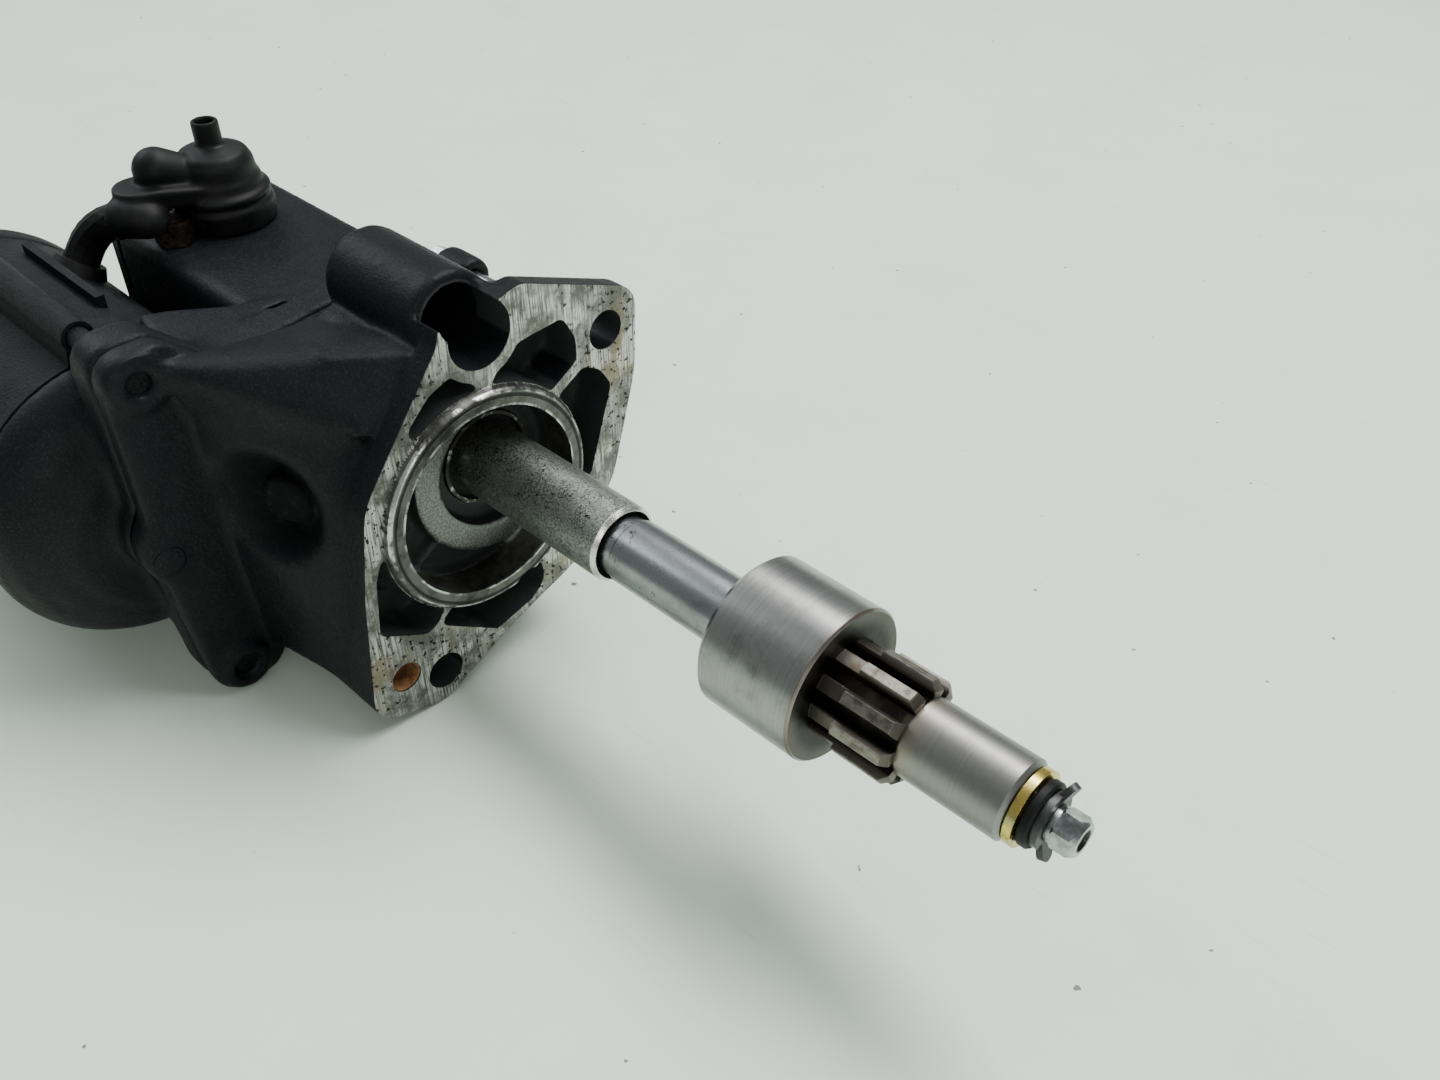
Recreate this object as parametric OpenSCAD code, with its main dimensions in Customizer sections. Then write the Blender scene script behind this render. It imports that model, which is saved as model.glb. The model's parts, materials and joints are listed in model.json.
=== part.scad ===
// Gear-reduction starter motor with a sliding jackshaft drive.
// +X runs out along the drive shaft, +Z is up as the starter lies on a bench.
// The origin is where the shaft axis meets the machined mounting face.

/* [Mounting flange] */
// Thickness of the flange plate
flange_t = 7; // [6:0.5:9]
// Diameter of the two mounting bolt holes
bolt_hole_d = 11.2; // [10:0.1:12]
// Bore of the locating sleeve in the third hole
locating_bore_d = 8; // [6:0.5:8]
// Outside diameter of the pilot ring
pilot_d = 63.4; // [62:0.2:64]
// Height of the pilot ring above the mounting face
pilot_h = 2.2; // [1:0.2:3]

/* [Gear train] */
// Tooth module of the reduction gears
gear_module = 1.75; // [1.75:0.05:1.8]
// Teeth on the armature shaft
armature_teeth = 11; // [11:1:11]
// Teeth on the idler gear
idler_teeth = 17; // [17:1:17]
// Teeth on the clutch gear
clutch_teeth = 35; // [35:1:35]
// Direction from the drive shaft to the motor, in degrees
motor_angle = 185; // [183:1:187]

/* [Motor] */
// Outside diameter of the motor yoke
yoke_d = 82; // [80:1:83]
// Length of the motor yoke
yoke_len = 88; // [80:1:96]

// Outside diameter of the lead to the motor
lead_d = 10; // [8:0.5:10]

/* [Drive shaft] */
// Diameter of the pinion's front journal
journal_d = 19.05; // [18:0.05:20]
// Diameter of the pinion's rear collar
collar_d = 38.2; // [34:0.2:40]
// Outside diameter of the coupling sleeve
sleeve_d = 20.8; // [20:0.1:21]
// Diameter of the jackshaft
jackshaft_d = 17.3; // [16:0.1:18]
// Teeth on the drive pinion
pinion_teeth = 10; // [9:1:10]
// Tip diameter of the drive pinion
pinion_tip_d = 26; // [25:0.2:28]

/* [Colours] */
// Painted castings
paint = "#1d1e20";
// Machined aluminium
bare_metal = "#b9b8b2";
// Plain steel
steel = "#8f9294";
// Rubber parts
rubber = "#161617";

/* [Hidden] */
$fn = 96;
eps = 0.02;

// Stations along the shaft, measured from the mounting face
split_x = -52;
gear_back_x = -60.5;
gear_front_x = -51;
bolt_seat_depth = 16;
ridge_back_x = -31;
boss_back_x = -48;
yoke_x = -76;
yoke_end_x = yoke_x - yoke_len;
cover_end_x = yoke_end_x - 12;
box_end_x = -144;
sleeve_back_x = -31;
sleeve_front_x = 42;
collar_back_x = 84.8;
collar_front_x = 112.5;
teeth_front_x = 133.5;
journal_end_x = 159;

// Gear train centres
gear_distance = gear_module * (armature_teeth + 2 * idler_teeth + clutch_teeth) / 2;
idler_distance = gear_module * (clutch_teeth + idler_teeth) / 2;
motor_y = gear_distance * cos(motor_angle);
motor_z = gear_distance * sin(motor_angle);
idler_y = idler_distance * cos(motor_angle);
idler_z = idler_distance * sin(motor_angle);

// Flange features as [y, z]
bolt_holes = [[34, 30], [-31, -50]];
bolt_seat_r = 9.6;
bolt_boss_r = 8.3;
locating_hole = [-43, -44];
pilot_at = [-9.8, -1.9];
pilot_wall = 4.6;
pilot_chamfer = 0.6;
stud_bore = [-5.6, 45];
stud_bore_r = 9.4;
stud_bore_depth = 46;
stud_boss_r = 12.6;
ridge_at = [-17, 48];
mouth_at = [-15.6, 47];
mouth_turn = 16;
mouth_depth = 10.5;
notch_at = [-0.8, -36.8];
notch_r = 6.2;
seat_x = -8;
seat_r = 18.2;
seat_outer_r = 26.2;
rib_angle = 215;
bearing_bore_r = 13.6;
bearing_front_x = -12.4;
pocket_depth = 13;
ledge = 0.7;

// Ears, screws and recesses as [y, z], except where said
ears = [[-71, 41], [-67, -52.2]];
ear_x = -45;
ear_r = 7.3;
case_ears = [[31, 27], [25, -33]];
case_ear_r = 6;
cover_screw_at = [[-25.5, 25.5], [21, 26], [0, -31]];
ejector_mark = [-77.5, -9];
scoop_at = [-31, -54.2, 4];
scoop_turn = 25;
scoop_r = 17;
scoop_depth = 9;
lug_r = 7.4;
lug_drop = 2.8;
case_r = 35;
pinion_case_r = 13.9;
box_top = 34;
slot_xy = [-64, -24];

// Terminals and the lead
battery_at = [-125, -4, 0];
motor_stud = [-122, -22];
stud_top = 41;
lead_r = lead_d / 2;
lead_x = -138;
lead_angle = 55;
lobe_at = [-128, -20, 53];
hood_at = [-128, -26, 45.5];
contact_x = -121.4;
pinion_turn = 29;
pinion_module = 2.35;
relief_x = 119;

// Corners as [y, z, radius]
flange_corners = [[-17, 48, 1.5], [-45, 13, 20], [-50, -14, 40], [-54.5, -54, 9],
    [-33, -60.5, 9], [-8, -48.5, 14], [17, -40, 12], [34, -17, 18], [44, 14, 40],
    [45.5, 38.5, 8], [8, 53.5, 4]];
motor_side_corners = [[-22, 41.8, 3], [-45, 13, 20], [-50, -14, 40], [-54.5, -54, 9],
    [-33, -60.5, 9], [-8, -48.5, 4], [-8, 41.8, 2]];
pocket_a = [[2, 38, 2], [20, 39.2, 2.5], [23.6, 32, 2], [23.6, 25.2, 2], [13.5, 19.5, 1],
    [-6, 28, 1]];
pocket_b = [[15, 16.6, 1], [25.6, 22.4, 2], [31, 19.2, 3], [34.8, 13, 2], [25, -13.8, 1.5],
    [18, -8, 1]];
pocket_c = [[-13, 38.4, 2], [-22.5, 35, 5], [-31, 27, 2], [-20, 22, 1], [-8, 30, 1]];
pocket_d = [[-42.6, -2, 1], [-45.8, -9, 3], [-47.8, -26.2, 2], [-34.5, -34, 2.5],
    [-31, -32.8, 1], [-24, -24, 1], [-36, -8, 1]];
pocket_e = [[-30, -33.8, 1.5], [-12.5, -46.6, 2.5], [0.5, -43.6, 3], [5.3, -38.4, 4],
    [5.3, -30.8, 5], [-7, -29, 3], [-10, -28, 1], [-24, -28, 1]];
plate_corners = [[-79.5, 49, 7.5], [-63.5, 49, 7], [-48, 35, 10], [-4, 39, 24], [34, 26, 20],
    [36, -22, 22], [0, -40, 20], [-44, -42, 12], [-58, -60, 7.2], [-75, -60, 7.2],
    [-79.5, -16, 30]];
box_corners = [[-31, box_top, 5], [19, box_top, 4], [29, 23, 10], [29, -18, 16], [0, -31, 22],
    [-31, -18, 12]];
// Shelf between the solenoid box and the motor, as [x, y, radius]
shelf_corners = [[-52, -20, 2], [-52, -52, 6], [-60, -58, 5], [-88, -52, 2], [-84, -44, 3],
    [-75, -32, 6], [-70, -20, 2]];

// ---------- helpers ----------
function unit(v) = v / norm(v);
// Points of one rounded corner between its two neighbours
function corner(before, c, after) =
    let (a = unit([before[0] - c[0], before[1] - c[1]]),
         b = unit([after[0] - c[0], after[1] - c[1]]),
         half = acos(a * b) / 2,
         centre = [c[0], c[1]] + unit(a + b) * c[2] / sin(half),
         reach = c[2] / tan(half),
         from = [c[0], c[1]] + a * reach - centre,
         to = [c[0], c[1]] + b * reach - centre,
         start = atan2(from[1], from[0]),
         sweep = ((atan2(to[1], to[0]) - start + 900) % 360) - 180,
         steps = max(2, ceil(abs(sweep) / 12)))
    [for (i = [0:steps]) centre + c[2] * [cos(start + sweep * i / steps), sin(start + sweep * i / steps)]];
function outline(c) =
    [for (i = [0:len(c) - 1]) each corner(c[(i + len(c) - 1) % len(c)], c[i], c[(i + 1) % len(c)])];
// Involute function, and the half angle of a tooth at radius r, both in degrees
function involute(a) = tan(a) * 180 / PI - a;
function tooth_half(n, m, r, play) =
    let (pitch_r = n * m / 2, base_r = pitch_r * cos(20), a = acos(min(1, base_r / r)))
    90 / n - play * 90 / (PI * pitch_r) + involute(20) - involute(a);
function gear_outline(n, m, turn, play = 0.2, tip = 0) =
    let (pitch_r = n * m / 2, root_r = pitch_r - 1.2 * m, tip_r = tip > 0 ? tip : pitch_r + 0.95 * m,
         low_r = max(root_r + 0.1, pitch_r * cos(20)),
         radii = [for (i = [0:3]) low_r + (tip_r - low_r) * i / 3])
    [for (k = [0:n - 1]) let (mid = turn + 360 * k / n, foot = tooth_half(n, m, low_r, play)) each concat(
        [root_r * [cos(mid - foot), sin(mid - foot)]],
        [for (r = radii) let (h = tooth_half(n, m, r, play)) r * [cos(mid - h), sin(mid - h)]],
        [for (i = [3:-1:0]) let (r = radii[i], h = tooth_half(n, m, r, play))
            r * [cos(mid + h), sin(mid + h)]],
        [root_r * [cos(mid + foot), sin(mid + foot)]])];
// Point on the motor's surface line where the lead enters, at radius r from the motor axis
function lead_point(r) = [lead_x, motor_y + r * cos(lead_angle), motor_z + r * sin(lead_angle)];
// Cubic curve through two end points, shaped by the two points between them
function curve(p, t) = pow(1 - t, 3) * p[0] + 3 * t * pow(1 - t, 2) * p[1]
    + 3 * t * t * (1 - t) * p[2] + pow(t, 3) * p[3];
lead_shape = [[-122.4, -28.4, 41.8], [-126.4, -34.6, 45.3], lead_point(56), lead_point(47)];
lead_along = unit(lead_shape[1] - lead_shape[0]);
lead_route = concat([for (i = [0:8]) curve(lead_shape, i / 8)], [lead_point(42), lead_point(37.4)]);
// Solid hose of round section through a list of points, its ends square
module hose(route, r, sides) {
    last = len(route) - 1;
    pts = [for (i = [0:last])
        let (t = unit(route[min(i + 1, last)] - route[max(i - 1, 0)]),
             u = unit(cross(t, [1, 0, 0])),
             v = cross(t, u))
        for (j = [0:sides - 1]) route[i] + r * (cos(360 * j / sides) * u + sin(360 * j / sides) * v)];
    walls = [for (i = [0:last - 1]) for (j = [0:sides - 1]) let (k = (j + 1) % sides)
        [i * sides + j, (i + 1) * sides + j, (i + 1) * sides + k, i * sides + k]];
    polyhedron(pts, concat([[for (j = [0:sides - 1]) j]], walls,
        [[for (j = [sides - 1:-1:0]) last * sides + j]]), convexity = 10);
}
// Places a flat shape in the plane across the shaft and extrudes it from x0 to x1
module across(x0, x1) {
    translate([x0, 0, 0]) rotate([90, 0, 90]) linear_extrude(x1 - x0) children();
}
// Round bar along the shaft direction
module bar(x0, x1, r, at = [0, 0], end_r = -1) {
    translate([x0, at[0], at[1]]) rotate([0, 90, 0])
        cylinder(h = x1 - x0, r1 = r, r2 = end_r < 0 ? r : end_r);
}
// Hollow round bar along the shaft direction
module tube(x0, x1, r, bore_r, at = [0, 0]) {
    difference() {
        bar(x0, x1, r, at);
        bar(x0 - 1, x1 + 1, bore_r, at);
    }
}
// Turned part: profile of [x, radius] pairs spun about the shaft axis
module turned(profile, at = [0, 0]) {
    translate([0, at[0], at[1]]) rotate([0, 90, 0]) rotate_extrude()
        polygon([for (p = profile) [p[1], p[0]]]);
}
// Helical spring of round wire about the shaft axis
module coil_spring(x0, x1, r, wire_r, turns, at = [0, 0]) {
    sides = 6;
    count = turns * 12;
    span = x1 - x0 - 2 * wire_r;
    pts = [for (i = [0:count]) let (a = 360 * turns * i / count, x = x0 + wire_r + span * i / count)
        for (j = [0:sides - 1]) let (b = 360 * j / sides, q = r + wire_r * cos(b))
            [x + wire_r * sin(b), at[0] + q * cos(a), at[1] + q * sin(a)]];
    walls = [for (i = [0:count - 1]) for (j = [0:sides - 1]) let (k = (j + 1) % sides)
        [i * sides + j, i * sides + k, (i + 1) * sides + k, (i + 1) * sides + j]];
    polyhedron(pts, concat([[for (j = [sides - 1:-1:0]) j]], walls,
        [[for (j = [0:sides - 1]) count * sides + j]]), convexity = 10);
}
// Ball bearing drawn as its two rings and its balls
module ball_bearing(x0, x1, outer_r, bore_r, at, balls = 9) {
    mid = (x0 + x1) / 2;
    wall = (outer_r - bore_r) * 0.26;
    track = (outer_r + bore_r) / 2;
    tube(x0, x1, outer_r, outer_r - wall, at);
    tube(x0, x1, bore_r + wall, bore_r, at);
    for (k = [0:balls - 1])
        translate([mid, at[0] + track * cos(360 * k / balls), at[1] + track * sin(360 * k / balls)])
            sphere(r = outer_r - wall - track - 0.05, $fn = 24);
}

// ---------- castings ----------
// Walls that stand between the pockets
module pocket_walls() {
    difference() {
        union() {
            translate(pilot_at) circle(r = pilot_d / 2 + ledge);
            translate(stud_bore) circle(r = stud_boss_r);
        }
        translate(notch_at) circle(r = notch_r);
    }
}
// Space for the clutch gear and the idler, between two stations
module gear_case(x0, x1) {
    bar(x0, x1, 34.2);
    bar(x0, x1, 18.3, [idler_y, idler_z]);
}
// Flange plate, the block behind its motor side and the shoulder that runs up to the upper ear
module drive_case_outside() {
    across(-flange_t, 0) polygon(outline(flange_corners));
    across(ear_x - eps, -flange_t + eps) polygon(outline(motor_side_corners));
    hull() {
        across(-flange_t - 2, -flange_t) polygon([[-37, 27], [-20, 43], [-4, 43], [-4, 27]]);
        across(ear_x - 1, ear_x + 1) polygon([[-62, 29], [-67, 44], [-48, 36], [-10, 38], [-10, 27]]);
    }
    // slanted wall from the rear plate to the flange
    hull() {
        across(ear_x - 1, ear_x + 0.5) polygon([[-61, 30], [-61, 5], [-58, -50.5], [-30, -50.5], [-30, 30]]);
        across(-13, -12)
            polygon([[-39.5, 28], [-45, 8], [-49.5, -16], [-52, -50.5], [-30, -50.5], [-30, 28]]);
    }
    hull() {
        across(-flange_t - 1, -flange_t + eps)
            polygon([[-8, 47], [8, 52], [44, 37], [43, 14], [33, -17], [17, -39], [-8, -47]]);
        bar(split_x + 6, split_x + 7, case_r - 0.8);
    }
    across(ridge_back_x, -flange_t + eps)
        polygon([ridge_at, [-19, 39], [-6, 39], [-6, 50.4]]);
    bar(split_x, -20, case_r);
    across(split_x, ear_x) polygon(outline(plate_corners));
    bar(split_x, ear_x, pinion_case_r, [motor_y, motor_z]);
    bar(split_x, ear_x + 0.5, 4.3, ejector_mark);
}
// Scoop in the motor-side wall, with the round lug left standing in it
module wall_scoop() {
    translate(scoop_at) rotate([90, 0, scoop_turn]) difference() {
        translate([0, 0, scoop_r - scoop_depth]) sphere(r = scoop_r, $fn = 72);
        translate([2.5, -0.8, -20]) cylinder(h = 20 - lug_drop, r = lug_r);
    }
}
// Step that takes the top of the stud boss back from the mounting face
module mouth_cut() {
    translate([-mouth_depth, mouth_at[0], mouth_at[1]]) rotate([mouth_turn, 0, 0])
        cube([mouth_depth + 1, 21, 20]);
}
module drive_housing() {
    color(paint) difference() {
        union() {
            difference() {
                drive_case_outside();
                across(-pocket_depth, 1) difference() {
                    union() {
                        polygon(outline(pocket_a));
                        polygon(outline(pocket_b));
                        polygon(outline(pocket_c));
                        polygon(outline(pocket_d));
                        polygon(outline(pocket_e));
                    }
                    pocket_walls();
                }
                wall_scoop();
            }
            bar(-flange_t - eps, pilot_h - pilot_chamfer, pilot_d / 2, pilot_at);
            bar(pilot_h - pilot_chamfer, pilot_h, pilot_d / 2, pilot_at, pilot_d / 2 - pilot_chamfer);
            bar(boss_back_x, 0, stud_boss_r, stud_bore);
            for (e = ears) bar(split_x, ear_x + 2.5, ear_r, e);
            for (e = case_ears) bar(split_x, ear_x + 7, case_ear_r, e);
            for (h = bolt_holes) bar(-bolt_seat_depth, -1, bolt_boss_r, h);
        }
        // Recess inside the pilot ring, round the seat plate and its thin rib
        difference() {
            across(-pocket_depth, pilot_h + 1) difference() {
                translate(pilot_at) circle(r = pilot_d / 2 - pilot_wall);
                translate(notch_at) circle(r = notch_r + 2.8);
            }
            bar(-pocket_depth - 1, seat_x, seat_outer_r);
            across(-pocket_depth - 1, seat_x - 1) rotate(rib_angle) translate([0, -1.2]) square([40, 2.4]);
        }
        across(-pocket_depth, pilot_h + 1) translate(notch_at) circle(r = notch_r);
        bar(-pocket_depth, 1, seat_r);
        bar(-34, 0, bearing_bore_r);
        bar(-38.5, -31, 17.5);
        bar(split_x - 1, -38, 28);
        gear_case(split_x - 1, gear_front_x + 1);
        bar(split_x, -46.8, 4, [idler_y, idler_z]);
        bar(-stud_bore_depth, 1, stud_bore_r, stud_bore);
        mouth_cut();
        for (h = bolt_holes) {
            bar(-60, 1, bolt_hole_d / 2, h);
            bar(-60, -bolt_seat_depth, bolt_seat_r, h);
        }
        bar(-14, 1, locating_bore_d / 2 + 0.6, locating_hole);
        for (e = ears) bar(split_x - 1, ear_x + 3, 3, e);
        for (e = ears) bar(ear_x + 0.8, ear_x + 3, 4.4, e);
        for (e = case_ears) bar(split_x - 1, ear_x + 4, 2.42, e);
    }
}
module solenoid_housing() {
    motor_at = [motor_y, motor_z];
    color(paint) difference() {
        union() {
            across(-63, split_x) polygon(outline(plate_corners));
            bar(-66, -55, 36.6);
            across(box_end_x, -55) polygon(outline(box_corners));
            translate([0, 0, 26]) linear_extrude(9.6) polygon(outline(shelf_corners));
            hull() {
                bar(-67, -60, 34);
                bar(yoke_x, yoke_x + 2, yoke_d / 2 - 0.5, motor_at);
                bar(-66, -62, 28, motor_at);
            }
            // domed front of the motor drum
            turned([[yoke_x, 0], [yoke_x, yoke_d / 2 + 0.5], [-71.5, yoke_d / 2 - 0.2],
                [-66, yoke_d / 2 - 3.8], [-62, yoke_d / 2 - 9.4], [-60, 27], [-58.5, 25.4], [-58.5, 0]],
                motor_at);
            bar(-63, split_x, pinion_case_r, motor_at);
            for (e = ears) bar(-64, split_x, ear_r, e);
            for (e = case_ears) bar(-66, split_x, case_ear_r, e);
            bar(box_end_x, box_end_x + 14, 4.2, cover_screw_at[2]);
        }
        bar(box_end_x - 1, yoke_x, yoke_d / 2 + 0.1, motor_at);
        gear_case(gear_back_x - 1, split_x + 1);
        bar(gear_back_x - 1, split_x + 1, pinion_case_r - 2, motor_at);
        bar(-73, -60, 17.5);
        bar(-76, -70, 10);
        bar(box_end_x - 1, -75, 26);
        bar(-66, -55, 4, [idler_y, idler_z]);
        bar(-70, -60, 8.5, motor_at);
        bar(yoke_x - 1, -65.5, 15, motor_at);
        for (e = ears) bar(-70, -51, 3.2, e);
        for (e = case_ears) bar(-67, -51, 2.6, e);
        for (s = cover_screw_at) bar(box_end_x - 1, box_end_x + 10, 1.92, s);
        translate([battery_at[0], battery_at[1], 20]) cylinder(h = 20, r = 6);
        translate([motor_stud[0], motor_stud[1], 5]) cylinder(h = 31, r = 3.4);
        hull() for (y = [-2, 2]) translate([slot_xy[0], slot_xy[1] + y, 30])
            cylinder(h = 8, r = 1.9, $fn = 32);
    }
}
module motor_yoke() {
    at = [motor_y, motor_z];
    color(paint) difference() {
        union() {
            bar(yoke_end_x, yoke_x, yoke_d / 2, at);
            // tunnels for the through bolts, each on a web
            for (e = ears) {
                bar(yoke_end_x, yoke_x, 4.2, e);
                foot_z = motor_z + (e[1] - motor_z) * 0.8;
                across(yoke_end_x, yoke_x) polygon([[e[0] - 3.4, e[1]], [e[0] + 3.4, e[1]],
                    [e[0] + 5, foot_z], [e[0] - 5, foot_z]]);
            }
            translate([-150, -55, 26]) cube([46, 2.4, 9.2]);
        }
        bar(yoke_end_x - 1, yoke_x + 1, yoke_d / 2 - 4, at);
        for (e = ears) bar(yoke_end_x - 1, yoke_x + 1, 3.2, e);
        translate(lead_point(30)) rotate([lead_angle - 90, 0, 0]) cylinder(h = 20, r = lead_r + 1.5);
    }
}
module end_cover() {
    at = [motor_y, motor_z];
    color(paint) difference() {
        union() {
            difference() {
                union() {
                    bar(cover_end_x + 3, yoke_end_x, yoke_d / 2 + 0.5, at);
                    bar(cover_end_x, cover_end_x + 3, yoke_d / 2 - 2.5, at, yoke_d / 2 + 0.5);
                    for (e = ears) bar(yoke_end_x - 8, yoke_end_x, ear_r - 0.6, e);
                }
                bar(yoke_end_x - 9, yoke_end_x + 1, yoke_d / 2 - 4, at);
            }
            bar(cover_end_x - 3, cover_end_x + 9, 14.5, at);
        }
        bar(cover_end_x + 0.8, yoke_end_x, 11, at);
        for (e = ears) bar(yoke_end_x - 9, yoke_end_x + 1, 3.2, e);
    }
}
module through_bolts() {
    color(paint) for (e = ears) {
        bar(yoke_end_x - 9, ear_x - 0.5, 2.9, e);
        bar(yoke_end_x - 12.5, yoke_end_x - 8.5, 5.6, e);
    }
}
module case_screws() {
    color(steel) for (e = case_ears) {
        bar(-66, ear_x + 3, 2.4, e);
        translate([-70, e[0], e[1]]) rotate([0, 90, 0]) cylinder(h = 4, r = 4.6, $fn = 6);
    }
}
module solenoid_cover() {
    color(paint) difference() {
        union() {
            across(box_end_x - 4, box_end_x) polygon(outline(box_corners));
            bar(box_end_x - 9, box_end_x - 3, 19);
            for (s = cover_screw_at) bar(box_end_x - 4, box_end_x, 4.2, s);
        }
        bar(box_end_x - 7, box_end_x + 1, 17);
        bar(box_end_x - 10, box_end_x + 1, yoke_d / 2 + 0.1, [motor_y, motor_z]);
        for (s = cover_screw_at) bar(box_end_x - 5, box_end_x + 1, 2.1, s);
    }
}
module cover_screws() {
    color(steel) for (s = cover_screw_at) {
        bar(box_end_x - 4.2, box_end_x + 9, 1.9, s);
        bar(box_end_x - 7, box_end_x - 4, 3.6, s);
    }
}
module locating_sleeve() {
    color("#6b4524") tube(-13, -0.6, locating_bore_d / 2 + 0.58, locating_bore_d / 2, locating_hole);
}
module battery_terminal() {
    color("#b87f4a") translate(battery_at) {
        translate([0, 0, 16.9]) cylinder(h = 31, r = 3.9);
        translate([-5, -5, 14.6]) cube([8.5, 10, 2.4]);
    }
}
module terminal_insulator() {
    color("#3a2b22") translate(battery_at) difference() {
        union() {
            translate([0, 0, 19.8]) cylinder(h = 15, r = 5.9);
            translate([0, 0, box_top + 0.1]) cylinder(h = 2.6, r = 9);
        }
        translate([0, 0, 19]) cylinder(h = 20, r = 3.95);
    }
}
module terminal_nut() {
    color(steel) translate(battery_at) difference() {
        translate([0, 0, 37]) cylinder(h = 6, r = 7.2, $fn = 6);
        translate([0, 0, 36]) cylinder(h = 8, r = 3.9);
    }
}
module terminal_boot() {
    color(rubber) difference() {
        union() {
            translate(battery_at) rotate_extrude() polygon([[0, 34.2], [14.4, 34.2], [14.7, 40.4],
                [13.4, 42], [14.3, 42.8], [14.3, 44.2], [12.5, 45.4], [12.2, 47.6], [11.4, 48.6],
                [11, 52.4], [9.6, 55], [5.2, 56.8], [0, 57]]);
            translate(battery_at) translate([0, 0, 56]) cylinder(h = 8, r = 3.9);
            hull() {
                translate([battery_at[0], battery_at[1] - 2, 43.4]) cylinder(h = 4.4, r = 10.4, $fn = 32);
                translate(hood_at) cylinder(h = 5, r = 7.6, $fn = 32);
            }
            hull() {
                translate(lobe_at) sphere(r = 6.6, $fn = 24);
                translate(lobe_at + [3, 9, -3]) sphere(r = 5, $fn = 24);
            }
            hull() for (i = [0:2]) translate(lead_route[i]) sphere(r = lead_r + 1.4, $fn = 24);
        }
        translate(battery_at) translate([0, 0, 30]) cylinder(h = 18.6, r = 9.2);
        translate(battery_at) translate([0, 0, 60]) cylinder(h = 6, r = 2.7);
        translate([motor_stud[0], motor_stud[1], 30]) cylinder(h = 11.6, r = 6.3);
        translate([motor_stud[0] - 8, motor_stud[1] - 14, 30]) cube([16, 22, 8.9]);
        hose(concat([lead_route[0] - 0.2 * lead_along], [for (i = [1:8]) lead_route[i]]),
            lead_r + 0.06, 12);
        hose([lead_route[0] - 4 * lead_along, lead_route[0] + lead_along], 2.4, 12);
    }
}
module motor_terminal() {
    color("#b87f4a") translate([motor_stud[0], motor_stud[1], 0]) {
        translate([0, 0, 3.4]) cylinder(h = stud_top - 3.4, r = 2.9);
        translate([-3.5, -3.5, 1]) cube([7, 7, 2.5]);
    }
    color(steel) translate([motor_stud[0], motor_stud[1], box_top + 0.2]) difference() {
        cylinder(h = 4.5, r = 5.8, $fn = 6);
        translate([0, 0, -1]) cylinder(h = 7, r = 2.85);
    }
}
// Ring and crimp barrel on the end of the motor lead
module lead_eyelet() {
    color("#b87f4a") difference() {
        union() {
            translate([motor_stud[0], motor_stud[1], box_top + 4.9]) cylinder(h = 1.5, r = 4.9);
            hose([lead_route[0] - 2.6 * lead_along, lead_route[0] - 0.25 * lead_along], 1.5, 12);
        }
        translate([motor_stud[0], motor_stud[1], box_top]) cylinder(h = 8, r = 2.95);
    }
}
module motor_lead() {
    color(rubber) hose(lead_route, lead_r, 12);
}
module lead_grommet() {
    color(rubber) translate([lead_x, motor_y, motor_z]) rotate([lead_angle - 90, 0, 0]) difference() {
        union() {
            translate([0, 0, yoke_d / 2 + 0.05]) cylinder(h = 3.4, r1 = lead_r + 3, r2 = lead_r + 1.8);
            translate([0, 0, 37.6]) cylinder(h = 4, r = lead_r + 1.45);
        }
        translate([0, 0, 30]) cylinder(h = 20, r = lead_r + 0.06);
    }
}
module sector(r_out, r_in, mid, width) {
    steps = 8;
    polygon(concat(
        [for (i = [0:steps]) let (a = mid - width / 2 + width * i / steps) r_out * [cos(a), sin(a)]],
        [for (i = [steps:-1:0]) let (a = mid - width / 2 + width * i / steps) r_in * [cos(a), sin(a)]]));
}
module pole_shoes() {
    color(steel) for (k = [0:3])
        translate([0, motor_y, motor_z]) across(-140, -90) sector(yoke_d / 2 - 4.4, 31, 45 + 90 * k, 50);
}
module field_coils() {
    color("#a4552a") for (k = [0:3]) translate([0, motor_y, motor_z]) difference() {
        across(-147, -83) sector(yoke_d / 2 - 5, 32, 45 + 90 * k, 78);
        across(-140.2, -89.8) sector(yoke_d / 2, 20, 45 + 90 * k, 51);
    }
}
module front_motor_bearing() {
    color(steel) ball_bearing(-75, -66, 15, 6, [motor_y, motor_z]);
}
module rear_motor_bearing() {
    color(steel) ball_bearing(cover_end_x + 1, cover_end_x + 9, 11, 4.5, [motor_y, motor_z]);
}
module brush_holder() {
    color("#6f6a5c") translate([0, motor_y, motor_z]) difference() {
        union() {
            tube(yoke_end_x + 0.2, yoke_end_x + 2.2, yoke_d / 2 - 4.2, 16);
            for (k = [0:3]) rotate([90 * k, 0, 0])
                translate([yoke_end_x + 2, -5.6, 17]) cube([12, 11.2, 18]);
        }
        for (k = [0:3]) rotate([90 * k, 0, 0])
            translate([yoke_end_x + 3.4, -4.1, 10]) cube([9.2, 8.2, 23.5]);
    }
}
module brushes() {
    color("#3c3836") translate([0, motor_y, motor_z]) for (k = [0:3]) rotate([90 * k, 0, 0]) difference() {
        translate([yoke_end_x + 3.6, -3.9, 13]) cube([8.8, 7.8, 11.5]);
        bar(yoke_end_x + 2, yoke_end_x + 14, 14.1);
    }
}
module brush_springs() {
    color(steel) translate([0, motor_y, motor_z]) for (k = [0:3]) rotate([90 * k, 0, 0])
        translate([yoke_end_x + 8, 0, 24.6]) rotate([0, -90, 0]) coil_spring(0, 8.8, 3, 0.45, 4);
}
module idler_pin() {
    color(steel) bar(-65.9, -46.9, 3.98, [idler_y, idler_z]);
}
module clutch_front_bearing() {
    color(steel) ball_bearing(-38.4, -31.1, 17.48, 12, [0, 0], 12);
}
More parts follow.
